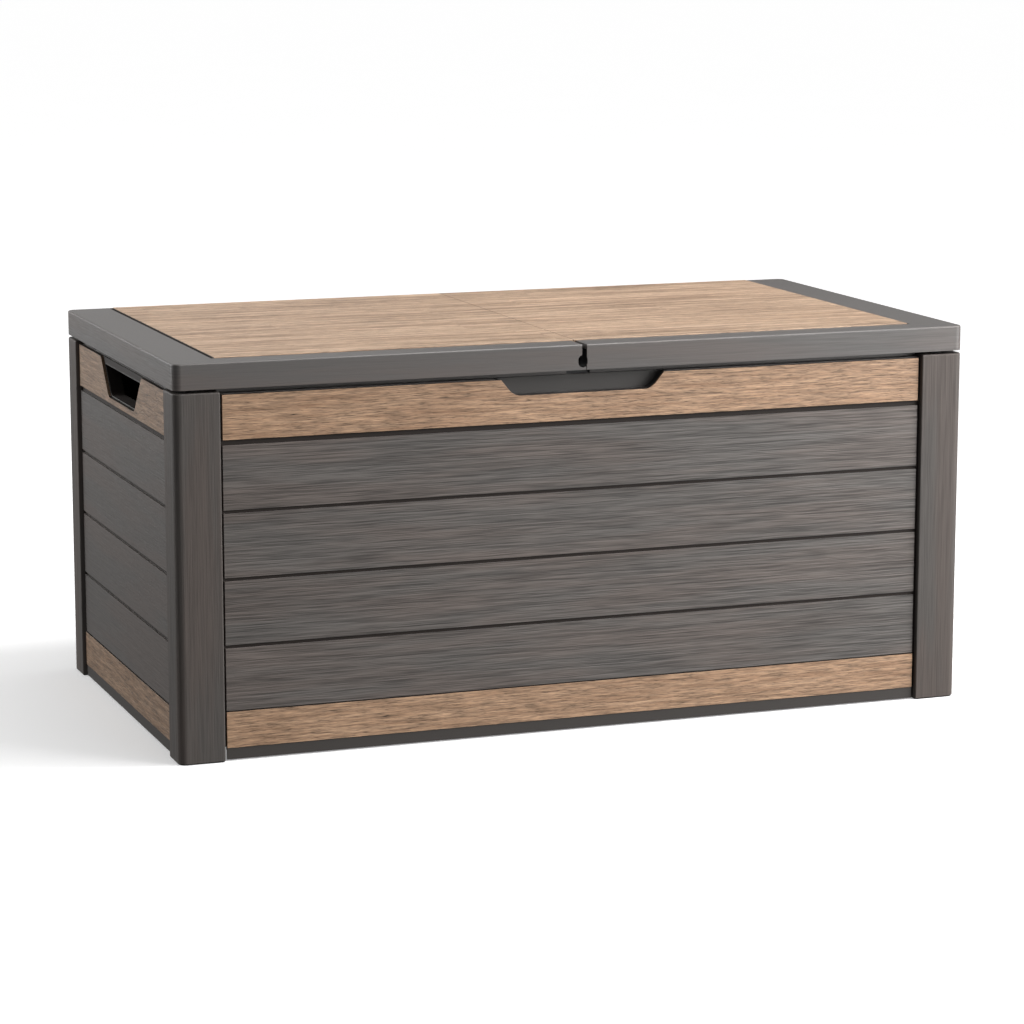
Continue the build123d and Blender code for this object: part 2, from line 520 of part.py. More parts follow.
def build_lid():
    """Lid shells, wood-look panels, seam clip and steel braces."""
    half = lid_half()
    for x, y, _ in lid_screw_places():
        if x > 0:
            half -= rod_z(x, y, LID_UNDERSIDE - 1, LID_SCREW_TIP + FIT / 2, SCREW_HOLE_R)
    front_strip = -HALF_D + FRONT_BORDER
    right = half - slab(-1, SLIT_RIGHT, -HALF_D - 1, front_strip, LID_BOTTOM - 1, HEIGHT)
    left = mirrored(half) - slab(SLIT_LEFT, 1, -HALF_D - 1, front_strip, LID_BOTTOM - 1, HEIGHT)
    left += slab(SLIT_LEFT - 2, SLIT_RIGHT - 1, -HALF_D, -HALF_D + SKIN, LID_BOTTOM, LID_BOTTOM + LUG_H)
    parts["lid_shell_right"] = right - keyhole()
    parts["lid_shell_left"] = left - keyhole()

    panel = slab(SEAM_GAP, HALF_W - END_CAP - TOP_GROOVE, -HALF_D + FRONT_BORDER + FIT,
                 HALF_D - BACK_BORDER - FIT, PANEL_SEAT, HEIGHT)
    panel = fillet(panel.faces().sort_by(Axis.Z)[-1].edges().filter_by(lambda e: e.center().X > 1), 1.0)
    parts["lid_panel_right"] = panel
    parts["lid_panel_left"] = mirrored(panel)

    flange = SEAM_GAP + SKIN + FIT
    side = flange + CLIP_WALL
    clip = slab(-side, side, -CLIP_REACH, CLIP_REACH, LID_BOTTOM + 2.5, LID_UNDERSIDE - BRACE_H - 1)
    clip -= slab(-flange, flange, -CLIP_REACH - 1, CLIP_REACH + 1, LID_BOTTOM + 4.5, LID_UNDERSIDE)
    for y in LID_RIB_YS:
        near, far = y - RIB_T / 2 - FIT, y + RIB_T / 2 + FIT
        clip -= slab(-side - 1, side + 1, near, far, LID_RIB_BOTTOM - FIT, LID_UNDERSIDE)
    parts["lid_seam_clip"] = clip
    for name, y in BRACE_YS.items():
        low = LID_UNDERSIDE - BRACE_H
        tube = slab(-BRACE_HALF_X, BRACE_HALF_X, y - BRACE_W / 2, y + BRACE_W / 2, low, LID_UNDERSIDE)
        inner = BRACE_W / 2 - BRACE_WALL
        tube -= slab(-BRACE_HALF_X - 1, BRACE_HALF_X + 1, y - inner, y + inner,
                     low + BRACE_WALL, LID_UNDERSIDE - BRACE_WALL)
        for x, sy, _ in lid_screw_places():
            if sy == y:
                tube -= rod_z(x, y, low - 1, LID_UNDERSIDE + 1, SCREW_HOLE_R)
        parts[f"lid_brace_{name}"] = tube


# ---- hinges

def build_hinges():
    """Four pinned hinges: a base on the back rim, a leaf under the lid and a steel pin each."""
    pins = []
    for number, x in enumerate(HINGE_XS, start=1):
        seat = RIM_TOP + LEAF_T
        base = slab(x - BASE_HALF, x + BASE_HALF, HALF_D - RIM_BACK + LIP_T + FIT, ARM_BACK, RIM_TOP, seat)
        base += slab(x - BASE_HALF, x + BASE_HALF, ARM_FRONT, ARM_BACK, RIM_TOP, HINGE_Z)
        base += rod_x(x - BASE_HALF, x + BASE_HALF, HINGE_Y, HINGE_Z, KNUCKLE_R)
        base -= rod_x(x - BASE_HALF - 1, x + BASE_HALF + 1, HINGE_Y, HINGE_Z, PIN_R + RUN)
        under = LID_UNDERSIDE - LEAF_T
        leaf = slab(x - LEAF_HALF, x + LEAF_HALF, LID_LEAF_FRONT, ARM_BACK, under, LID_UNDERSIDE)
        for side in (-1, 1):
            inner, outer = x + side * (BASE_HALF + 0.5), x + side * LEAF_HALF
            low, high = min(inner, outer), max(inner, outer)
            leaf += slab(low, high, ARM_FRONT, ARM_BACK, HINGE_Z, LID_UNDERSIDE)
            leaf += rod_x(low, high, HINGE_Y, HINGE_Z, KNUCKLE_R)
            base -= rod_z(x + side * HINGE_SCREW_X, HINGE_SCREW_Y, RIM_TOP - 1, seat + 1, SCREW_HOLE_R)
            leaf -= rod_z(x + side * LEAF_SCREW_X, LEAF_SCREW_Y, under - 1, LID_UNDERSIDE + 1, SCREW_HOLE_R)
        leaf -= rod_x(x - LEAF_HALF - 1, x + LEAF_HALF + 1, HINGE_Y, HINGE_Z, PIN_R + RUN)
        parts[f"hinge_base_{number}"] = base
        parts[f"hinge_leaf_{number}"] = leaf
        pin = rod_x(x - LEAF_HALF - 0.3, x + LEAF_HALF + 0.3, HINGE_Y, HINGE_Z, PIN_R)
        for side in (-1, 1):
            inner, outer = x + side * (LEAF_HALF + 0.3), x + side * (LEAF_HALF + 2.3)
            pin += rod_x(min(inner, outer), max(inner, outer), HINGE_Y, HINGE_Z, PIN_R + 2)
        pins.append(pin)
    parts["hinge_pins"] = Compound(pins)


# ---- gas struts

def strut_frame():
    """Plane at the lid-side pivot whose Z axis runs down the strut, lid closed."""
    dy, dz = STRUT_BODY[0] - STRUT_LID[0], STRUT_BODY[1] - STRUT_LID[1]
    return Plane(origin=(STRUT_X, *STRUT_LID), x_dir=(1, 0, 0), z_dir=(0, dy, dz))


def strut_length():
    """Distance between the strut's two pivots with the lid closed."""
    return 2 * STRUT_ARM * sin(radians((STRUT_LID_ANGLE - STRUT_BODY_ANGLE) / 2))


def along(start, end, radius):
    """A cylinder along the strut, between two distances from the lid-side pivot."""
    return strut_frame() * Pos(0, 0, (start + end) / 2) * Cylinder(radius, end - start)


def eye(y, z, neck, bore_for=None):
    """A strut's end fitting: an eye on the stud and a neck along the strut."""
    body = rod_x(STRUT_X - EYE_HALF, STRUT_X + EYE_HALF, y, z, EYE_R) + neck
    body -= rod_x(STRUT_X - EYE_HALF - 4, STRUT_X + EYE_HALF + 4, y, z, STUD_R + RUN)
    return body if bore_for is None else body - bore_for


def stud(y, z):
    """A bracket's stud with its retaining head, pointing to the middle of the box."""
    body = rod_x(STRUT_X - STUD_NECK, STRUT_X + STUD_ROOT, y, z, STUD_R)
    return body + rod_x(STRUT_X - STUD_END, STRUT_X - STUD_NECK, y, z, STUD_R + 2)


def post_bracket_screws():
    """Places (y, z) of the screws that hold the right strut's bracket to its post."""
    return [(POST_SCREW_Y, STRUT_BODY[1] + side * POST_SCREW_Z) for side in (-1, 1)]


def build_struts():
    """Both gas struts with their brackets. The right one is built and mirrored."""
    length = strut_length()
    tube = along(TUBE_START, TUBE_END, TUBE_R)
    tube -= along(TUBE_START + TUBE_PLUG, TUBE_END - TUBE_GUIDE, TUBE_R - TUBE_WALL)
    tube -= along(TUBE_END - TUBE_GUIDE - 1, TUBE_END + 1, ROD_R + RUN)
    piston_start = length - ROD_END
    rod = along(piston_start, length - ROD_START, ROD_R)
    rod += along(piston_start, piston_start + PISTON_L, PISTON_R)
    tube_end = eye(*STRUT_LID, along(2, TUBE_START, NECK_R))
    rod_end = eye(*STRUT_BODY, along(length - NECK_END, length - 2, NECK_R),
                  along(length - NECK_END - 1, length - ROD_START, ROD_R + RUN))

    face = HALF_W - POST_X
    y, z = STRUT_BODY
    post_plate = slab(face - BRACKET_T, face, y - POST_PLATE_FRONT, POST_PLATE_END,
                      z - POST_PLATE_HALF_Z, z + POST_PLATE_HALF_Z)
    for sy, sz in post_bracket_screws():
        post_plate -= rod_x(face - BRACKET_T - 1, face + 1, sy, sz, SCREW_HOLE_R)
    y, z = STRUT_LID
    root = STRUT_X + STUD_ROOT
    lid_plate = slab(root, LID_PLATE_END, y - LID_PLATE_HALF_Y, y + LID_PLATE_HALF_Y,
                     LID_UNDERSIDE - LEAF_T, LID_UNDERSIDE)
    lid_plate += slab(root, root + BRACKET_T, y - LID_CHEEK_HALF_Y, y + LID_CHEEK_HALF_Y,
                      z - LID_CHEEK_DROP, LID_UNDERSIDE)
    for end in (-1, 1):
        lid_plate -= rod_z(LID_PLATE_SCREW_X, y + end * LID_PLATE_SCREW_Y,
                           LID_UNDERSIDE - LEAF_T - 1, LID_UNDERSIDE + 1, SCREW_HOLE_R)
    made = {
        "strut_tube": tube,
        "strut_rod": rod,
        "strut_tube_end": tube_end,
        "strut_rod_end": rod_end,
        "strut_post_bracket": post_plate + stud(*STRUT_BODY),
        "strut_lid_bracket": lid_plate + stud(*STRUT_LID),
    }
    for name, shape in made.items():
        parts[f"right_{name}"] = shape
        parts[f"left_{name}"] = mirrored(shape)


# ---- padlock eye

def build_staple():
    """The padlock eye: a steel plate screwed to the inside of the front rim."""
    y0, y1 = RIM_BACK, RIM_BACK + STAPLE_T
    body = slab(-STAPLE_HALF, STAPLE_HALF, y0, y1, STAPLE_BOTTOM, STAPLE_TOP)
    body = fillet(body.edges().filter_by(Axis.Y).sort_by(Axis.Z)[-2:], STAPLE_CORNER_R)
    body -= rod_y(LOCK_X, y0 - 1, y1 + 1, LOCK_Z, LOCK_R)
    for side in (-1, 1):
        body -= rod_y(side * STAPLE_SCREW_X, y0 - 1, y1 + 1, STAPLE_SCREW_Z, SCREW_HOLE_R)
    parts["padlock_staple"] = at_front(body)


# ---- screws

def build_screws():
    """All the screws, as two groups of separate solids: those in the box and those in the lid."""
    body = []
    for x, y in floor_screws():
        body.append(rod_z(x, y, LEDGE_BOTTOM, FLOOR_TOP, SCREW_R)
                    + rod_z(x, y, FLOOR_TOP, FLOOR_TOP + SCREW_HEAD_H, SCREW_HEAD_R))
    seat = RIM_TOP + LEAF_T
    for x in HINGE_XS:
        for side in (-1, 1):
            place = (x + side * HINGE_SCREW_X, HINGE_SCREW_Y)
            body.append(rod_z(*place, RIM_TOP - SKIN, seat, SCREW_R)
                        + rod_z(*place, seat, seat + SCREW_HEAD_H, SCREW_HEAD_R))
    face = HALF_W - POST_X
    for y, z in post_bracket_screws():
        shank = rod_x(face - BRACKET_T, face + SKIN, y, z, SCREW_R)
        head = rod_x(face - BRACKET_T - SCREW_HEAD_H, face - BRACKET_T, y, z, SCREW_HEAD_R)
        body += [shank + head, mirrored(shank + head)]
    back = RIM_BACK + STAPLE_T
    for side in (-1, 1):
        x = side * STAPLE_SCREW_X
        shank = rod_y(x, GRIP_BACK + 2 * FIT, back, STAPLE_SCREW_Z, SCREW_R)
        head = rod_y(x, back, back + SCREW_HEAD_H, STAPLE_SCREW_Z, SCREW_HEAD_R)
        body.append(at_front(shank + head))
    parts["box_screws"] = Compound(body)
    lid = []
    for x, y, seat in lid_screw_places():
        shank = rod_z(x, y, seat, LID_SCREW_TIP, SCREW_R)
        lid.append(shank + rod_z(x, y, seat - SCREW_HEAD_H, seat, SCREW_HEAD_R))
    parts["lid_screws"] = Compound(lid)


def drill_ledges():
    """Cuts the floor screws' holes in the front and back walls' ledges."""
    for name in ("front_wall", "back_wall"):
        sign = -1 if name == "front_wall" else 1
        for x, y in floor_screws():
            if y * sign > 0:
                parts[name] -= rod_z(x, y, LEDGE_BOTTOM - 1, LEDGE_TOP + 1, SCREW_HOLE_R)


build_walls()
build_posts()
build_floor()
build_lid()
build_hinges()
build_struts()
build_staple()
build_screws()
drill_ledges()

os.makedirs("parts", exist_ok=True)
for name, shape in parts.items():
    export_step(shape, f"parts/{name}.step")
print(len(parts), "nodes; strut pivots (y, z):", STRUT_LID, STRUT_BODY, "length", round(strut_length(), 2))
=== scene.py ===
"""Looks of a resin deck storage box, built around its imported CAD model.

Metres. +X runs along the width, -Y is the front and +Z is up.
The origin is on the ground, under the box's middle.
Each resin part is its CAD node's own mesh with its edges rounded.
Metal and rubber parts keep their CAD mesh.
"""
import json
import logging
import math
from dataclasses import dataclass, field
from enum import Enum
from typing import Callable, Union

import bmesh
import bpy
from mathutils import Matrix, Vector


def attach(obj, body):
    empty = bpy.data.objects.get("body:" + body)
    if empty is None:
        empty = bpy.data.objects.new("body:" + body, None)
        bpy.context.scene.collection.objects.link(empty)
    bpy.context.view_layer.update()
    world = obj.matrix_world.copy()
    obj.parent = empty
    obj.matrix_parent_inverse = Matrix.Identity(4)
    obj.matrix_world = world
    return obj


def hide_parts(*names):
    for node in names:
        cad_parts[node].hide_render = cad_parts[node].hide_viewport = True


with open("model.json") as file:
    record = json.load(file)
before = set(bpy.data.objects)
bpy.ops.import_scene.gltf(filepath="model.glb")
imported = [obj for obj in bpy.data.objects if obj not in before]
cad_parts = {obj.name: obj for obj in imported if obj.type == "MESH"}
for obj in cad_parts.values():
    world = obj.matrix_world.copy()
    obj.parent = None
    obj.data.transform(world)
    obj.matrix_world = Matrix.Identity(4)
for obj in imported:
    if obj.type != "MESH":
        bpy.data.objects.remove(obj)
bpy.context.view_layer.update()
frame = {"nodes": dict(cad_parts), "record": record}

UP, ALONG = Vector((0, 0, 1)), Vector((1, 0, 0))
FACING = 0.9            # cosine above which a face counts as looking a given way
SHADE_ANGLE = 38.0      # degrees between faces, over which shading breaks
ROUND_ANGLE = 40.0      # degrees between faces, over which an edge is rounded
FLAT_ANGLE = 0.5        # degrees between faces, under which they join into one
MERGE = 0.00001         # vertices of a CAD mesh nearer than this are one
log = logging.getLogger("deck_box")
Colour = tuple[float, float, float]
Pair = tuple[float, float]
Triple = tuple[float, float, float]
Value = Union["Sock", float, tuple]
Picker = Callable[[bmesh.types.BMesh], list[bmesh.types.BMFace]]


# ---------------------------------------------------------------- shader maths

class Sock:
    """An output socket that grows Math nodes when it is used in an expression."""

    def __init__(self, tree: "Tree", socket: bpy.types.NodeSocket) -> None:
        """Wraps a socket.

        Args:
            tree: the node tree that holds the socket.
            socket: the output socket.
        """
        self.tree = tree
        self.socket = socket

    def _math(self, operation: str, *values: Value) -> "Sock":
        """A Math node on the given values."""
        return self.tree.add("ShaderNodeMath", {"operation": operation}, dict(enumerate(values)))

    def __add__(self, other: Value) -> "Sock":
        """self + other."""
        return self._math("ADD", self, other)

    def __sub__(self, other: Value) -> "Sock":
        """self - other."""
        return self._math("SUBTRACT", self, other)

    def __rsub__(self, other: Value) -> "Sock":
        """other - self."""
        return self._math("SUBTRACT", other, self)

    def __mul__(self, other: Value) -> "Sock":
        """self * other."""
        return self._math("MULTIPLY", self, other)

    def __truediv__(self, other: Value) -> "Sock":
        """self / other."""
        return self._math("DIVIDE", self, other)

    __radd__ = __add__
    __rmul__ = __mul__

    def floor(self) -> "Sock":
        """The whole part."""
        return self._math("FLOOR", self)

    def ramp(self, low: float, high: float) -> "Sock":
        """A smooth step from 0 at low to 1 at high.

        Args:
            low: the value that gives 0.
            high: the value that gives 1.

        Returns:
            The stepped value.
        """
        settings = {"interpolation_type": "SMOOTHSTEP"}
        values = {"Value": self, "From Min": low, "From Max": high}
        return self.tree.add("ShaderNodeMapRange", settings, values)


def even(value: float) -> Triple:
    """The same number along each axis."""
    return (value, value, value)


def opaque(colour: Value) -> Value:
    """Adds the alpha that a colour input needs to a plain colour."""
    return (*colour, 1.0) if isinstance(colour, tuple) else colour


def times(colour: Colour, gain: Triple) -> Colour:
    """A plain colour multiplied channel by channel."""
    return tuple(channel * factor for channel, factor in zip(colour, gain))


class Tree:
    """A material's node tree with one way to add any node."""

    def __init__(self, name: str) -> None:
        """Starts an empty material.

        Args:
            name: the material's name.
        """
        self.material = bpy.data.materials.new(name)
        self.material.use_nodes = True
        self.material.node_tree.nodes.clear()

    def add(self, kind: str, settings: dict[str, object], values: dict, output: Union[int, str] = 0) -> Sock:
        """Adds a node.

        Args:
            kind: the node's type.
            settings: attributes of the node, set first.
            values: input name or index to a number, a tuple or a Sock.
            output: the output to return, by name or index.

        Returns:
            The chosen output.
        """
        node = self.material.node_tree.nodes.new(kind)
        for key, value in settings.items():
            setattr(node, key, value)
        for key, value in values.items():
            if isinstance(value, Sock):
                self.material.node_tree.links.new(value.socket, node.inputs[key])
            else:
                node.inputs[key].default_value = value
        return Sock(self, node.outputs[output] if node.outputs else None)

    def place(self) -> Sock:
        """Object coordinates, in metres."""
        return self.add("ShaderNodeTexCoord", {}, {}, "Object")

    def axis(self, vector: Sock, name: str) -> Sock:
        """One component, X, Y or Z, of a vector."""
        return self.add("ShaderNodeSeparateXYZ", {}, {"Vector": vector}, name)

    def scaled(self, vector: Sock, scale: Triple) -> Sock:
        """A vector with each component multiplied."""
        return self.add("ShaderNodeVectorMath", {"operation": "MULTIPLY"}, {0: vector, 1: scale})

    def shifted(self, vector: Sock, by: Sock) -> Sock:
        """A vector plus another vector."""
        return self.add("ShaderNodeVectorMath", {"operation": "ADD"}, {0: vector, 1: by})

    def noise(self, vector: Sock, scale: Triple, detail: float = 2.0, roughness: float = 0.5) -> Sock:
        """Stretched noise from 0 to 1.

        Args:
            vector: where it is read.
            scale: features per metre along each axis.
            detail: octaves.
            roughness: weight of the finer octaves.

        Returns:
            The noise value.
        """
        read = self.scaled(vector, scale)
        values = {"Vector": read, "Scale": 1.0, "Detail": detail, "Roughness": roughness}
        return self.add("ShaderNodeTexNoise", {"noise_dimensions": "3D"}, values, 0)

    def spread(self, x: Sock, y: Sock, z: Sock) -> Sock:
        """A vector made from three numbers."""
        return self.add("ShaderNodeCombineXYZ", {}, {0: x, 1: y, 2: z})

    def sway(self, vector: Sock, scale: Triple, octaves: float, reach: float) -> Sock:
        """A vector that wanders a little, so that lines read from it are not quite straight.

        Args:
            vector: what wanders.
            scale: bends per metre along each axis.
            octaves: detail of the wandering.
            reach: how far it goes, in metres.

        Returns:
            The wandering vector.
        """
        drift = self.noise(vector, scale, octaves) * reach
        return self.shifted(vector, self.spread(drift, drift, drift))

    def random(self, seed: Sock) -> Sock:
        """A number from 0 to 1 that depends only on the seed."""
        return self.add("ShaderNodeTexWhiteNoise", {"noise_dimensions": "1D"}, {"W": seed}, "Value")

    def mix(self, factor: Value, first: Value, second: Value) -> Sock:
        """Blends two colours, plain or varying."""
        values = {0: factor, 6: opaque(first), 7: opaque(second)}
        return self.add("ShaderNodeMix", {"data_type": "RGBA"}, values, 2)

    def tint(self, colour: Sock, gain: Sock) -> Sock:
        """A colour multiplied by a number that varies over the surface."""
        grey = self.spread(gain, gain, gain)
        return self.add("ShaderNodeVectorMath", {"operation": "MULTIPLY"}, {0: colour, 1: grey})

    def bump(self, height: Sock, depth: float) -> Sock:
        """A normal bent by a height.

        Args:
            height: the height, 0 to 1.
            depth: what a height of 1 stands for, in metres.

        Returns:
            The normal.
        """
        values = {"Height": height, "Distance": depth, "Strength": 1.0}
        return self.add("ShaderNodeBump", {}, values, "Normal")

    def finish(self, values: dict[str, Value]) -> bpy.types.Material:
        """Closes the tree with a Principled shader.

        Args:
            values: the shader's inputs.

        Returns:
            The material.
        """
        shader = self.add("ShaderNodeBsdfPrincipled", {}, values, "BSDF")
        self.add("ShaderNodeOutputMaterial", {}, {"Surface": shader})
        return self.material


# ---------------------------------------------------------------- finishes

class Grain(Enum):
    """The way a texture's fibres run."""

    LEVEL = "level"          # along X and Y, on upright faces
    UPRIGHT = "upright"      # along Z
    ALONG_X = "along_x"
    ALONG_Y = "along_y"

    def scale(self, along: float, across: float) -> Triple:
        """Noise scale for this direction.

        Args:
            along: features per metre along the fibres.
            across: features per metre across them.

        Returns:
            The scale along X, Y and Z.
        """
        if self is Grain.LEVEL:
            return (along, along, across)
        if self is Grain.UPRIGHT:
            return (across, across, along)
        if self is Grain.ALONG_X:
            return (along, across, across)
        return (across, along, across)


@dataclass(frozen=True)
class BrushedResin:
    """Warm grey resin moulded with fine brush lines a few centimetres long.

    Each of coarse, fine and clouds is a noise's features per metre, along the lines and across them.
    Edges are the values between which a noise is stretched from 0 to 1.
    """

    name: str
    grain: Grain
    contrast: float = 0.50
    depth: float = 0.00025
    colour: Colour = (0.116, 0.106, 0.099)
    gloss: float = 0.40
    warmth: Triple = (1.06, 0.98, 0.95)
    rough: float = 0.46
    rough_swing: float = 0.25
    sway_scale: float = 4.0
    sway_reach: float = 0.002
    coarse: Pair = (8.0, 400.0)
    fine: Pair = (20.0, 760.0)
    clouds: Pair = (3.0, 26.0)
    line_edges: Pair = (0.30, 0.70)
    cloud_edges: Pair = (0.38, 0.62)
    cloud_gain: float = 0.14

    def build(self) -> bpy.types.Material:
        """Makes the material."""
        tree = Tree(self.name)
        place = tree.place()
        swayed = tree.sway(place, even(self.sway_scale), 1.0, self.sway_reach)
        coarse = tree.noise(swayed, self.grain.scale(*self.coarse), 1.0).ramp(*self.line_edges)
        fine = tree.noise(swayed, self.grain.scale(*self.fine), 1.0).ramp(*self.line_edges)
        cloud = tree.noise(place, self.grain.scale(*self.clouds))
        lines = (coarse + fine) * 0.5
        gain = 1.0 + (lines - 0.5) * (2.0 * self.contrast) + (cloud - 0.5) * self.cloud_gain
        base = tree.mix(cloud.ramp(*self.cloud_edges), self.colour, times(self.colour, self.warmth))
        return tree.finish({"Base Color": tree.tint(base, gain),
                            "Roughness": self.rough + (0.5 - lines) * self.rough_swing,
                            "Specular IOR Level": self.gloss,
                            "Normal": tree.bump(lines, self.depth)})


@dataclass(frozen=True)
class SmoothResin:
    """Plain moulded resin with a faint orange-peel skin."""

    name: str
    colour: Colour
    rough: float = 0.48
    gloss: float = 0.5
    rough_swing: float = 0.12
    peel_scale: float = 900.0
    peel_gain: float = 0.06
    peel_depth: float = 0.00006
    cloud_scale: float = 5.0
    cloud_gain: float = 1.06

    def build(self) -> bpy.types.Material:
        """Makes the material."""
        tree = Tree(self.name)
        place = tree.place()
        peel = tree.noise(place, even(self.peel_scale))
        cloud = tree.noise(place, even(self.cloud_scale))
        base = tree.mix(cloud, self.colour, times(self.colour, even(self.cloud_gain)))
        return tree.finish({"Base Color": tree.tint(base, 1.0 + (peel - 0.5) * self.peel_gain),
                            "Roughness": self.rough + (peel - 0.5) * self.rough_swing,
                            "Specular IOR Level": self.gloss,
                            "Normal": tree.bump(peel, self.peel_depth)})


@dataclass(frozen=True)
class Boards:
    """Printed boards that differ a little in tone and figure."""

    width: float
    length: float = 0.62
    offset: float = 0.37
    tone: float = 0.14
    row_seed: float = 7.31
    column_seed: float = 3.17
    jump: Triple = (3.0, 0.7, 1.0)

    def split(self, tree: Tree, place: Sock) -> tuple[Sock, Sock]:
        """Splits the surface into boards laid along X.

        Args:
            tree: the material's tree.
            place: object coordinates.

        Returns:
            Where to read the figure, and the tone to add.
        """
        row = (tree.axis(place, "Y") / self.width + self.offset).floor()
        column = (tree.axis(place, "X") / self.length + tree.random(row)).floor()
        shade = tree.random(row * self.row_seed + column * self.column_seed)
        jump = tree.spread(*(shade * reach for reach in self.jump))
        return tree.shifted(place, jump), (shade - 0.5) * self.tone


@dataclass(frozen=True)
class WoodLook:
    """Oak-look resin: streaks, fine fibres and short dark pores.

    Each of streaks, fibres, pores, clouds and bends is a noise's features per metre, along the grain
    and across it. Edges are the values between which one is stretched from 0 to 1.
    Darkness is a mix of streak, fibre and cloud; height is one of streak, fibre and pore.
    """

    name: str
    grain: Grain
    pale: Colour = (0.455, 0.296, 0.190)
    tan: Colour = (0.330, 0.201, 0.122)
    brown: Colour = (0.170, 0.092, 0.053)
    streaks: Pair = (7.0, 150.0)
    fibres: Pair = (36.0, 500.0)
    pores: Pair = (90.0, 620.0)
    clouds: Pair = (1.5, 9.0)
    bends: Pair = (3.0, 14.0)
    bend_reach: float = 0.004
    boards: Boards | None = None
    streak_gain: float = 0.0
    fibre_gain: float = 2.8
    pore_gain: float = 0.22
    cloud_gain: float = 0.15
    tan_edges: Pair = (0.34, 0.64)
    brown_edges: Pair = (0.54, 0.70)
    brown_share: float = 0.6
    pore_edges: Pair = (0.54, 0.70)
    rough: float = 0.50
    rough_swing: float = 0.25
    gloss: float = 0.4
    relief: float = 0.0003
    dark_mix: Triple = (0.65, 0.25, 0.10)
    height_mix: Triple = (0.3, 0.6, -0.5)

    def build(self) -> bpy.types.Material:
        """Makes the material."""
        tree = Tree(self.name)
        place = tree.place()
        read, tone = self.boards.split(tree, place) if self.boards else (place, 0.0)
        swayed = tree.sway(read, self.grain.scale(*self.bends), 2.0, self.bend_reach)
        streak = tree.noise(swayed, self.grain.scale(*self.streaks), 3.0, 0.7)
        fibre = tree.noise(swayed, self.grain.scale(*self.fibres), 2.0, 0.7)
        pore = tree.noise(swayed, self.grain.scale(*self.pores), 1.0).ramp(*self.pore_edges)
        cloud = tree.noise(read, self.grain.scale(*self.clouds))
        dark = streak * self.dark_mix[0] + fibre * self.dark_mix[1] + cloud * self.dark_mix[2]
        base = tree.mix(dark.ramp(*self.tan_edges), self.pale, self.tan)
        base = tree.mix(dark.ramp(*self.brown_edges) * self.brown_share, base, self.brown)
        gain = 1.0 + (fibre - 0.5) * self.fibre_gain + (cloud - 0.5) * self.cloud_gain + tone
        gain = gain - pore * self.pore_gain - (streak - 0.5) * self.streak_gain
        height = streak * self.height_mix[0] + fibre * self.height_mix[1] + pore * self.height_mix[2]
        return tree.finish({"Base Color": tree.tint(base, gain),
                            "Roughness": self.rough + (dark - 0.5) * self.rough_swing,
                            "Specular IOR Level": self.gloss,
                            "Normal": tree.bump(height, self.relief)})


@dataclass(frozen=True)
class Metal:
    """Plated, polished or powder-coated metal."""

    name: str
    colour: Colour
    metallic: float
    rough: float
    mottle: float = 0.1
    rough_swing: float = 0.15
    spangle_scale: float = 260.0
    spangle_dark: float = 0.9
    skin_scale: float = 1500.0
    skin_depth: float = 0.00003

    def build(self) -> bpy.types.Material:
        """Makes the material."""
        tree = Tree(self.name)
        place = tree.place()
        spangle = tree.noise(place, even(self.spangle_scale), 3.0)
        skin = tree.noise(place, even(self.skin_scale), 1.0)
        base = tree.mix(spangle, self.colour, times(self.colour, even(self.spangle_dark)))
        return tree.finish({"Base Color": tree.tint(base, 1.0 + (spangle - 0.5) * self.mottle),
                            "Metallic": self.metallic,
                            "Roughness": self.rough + (spangle - 0.5) * self.rough_swing,
                            "Normal": tree.bump(skin, self.skin_depth)})


@dataclass(frozen=True)
class Rubber:
    """Matt black rubber."""

    name: str = "buffer_rubber"
    colour: Colour = (0.012, 0.012, 0.012)
    bloomed: Colour = (0.03, 0.03, 0.029)
    rough: float = 0.75
    rough_swing: float = 0.15
    bloom_scale: float = 120.0
    bloom_depth: float = 0.0001

    def build(self) -> bpy.types.Material:
        """Makes the material."""
        tree = Tree(self.name)
        bloom = tree.noise(tree.place(), even(self.bloom_scale), 3.0)
        return tree.finish({"Base Color": tree.mix(bloom, self.colour, self.bloomed),
                            "Roughness": self.rough + bloom * self.rough_swing,
                            "Normal": tree.bump(bloom, self.bloom_depth)})


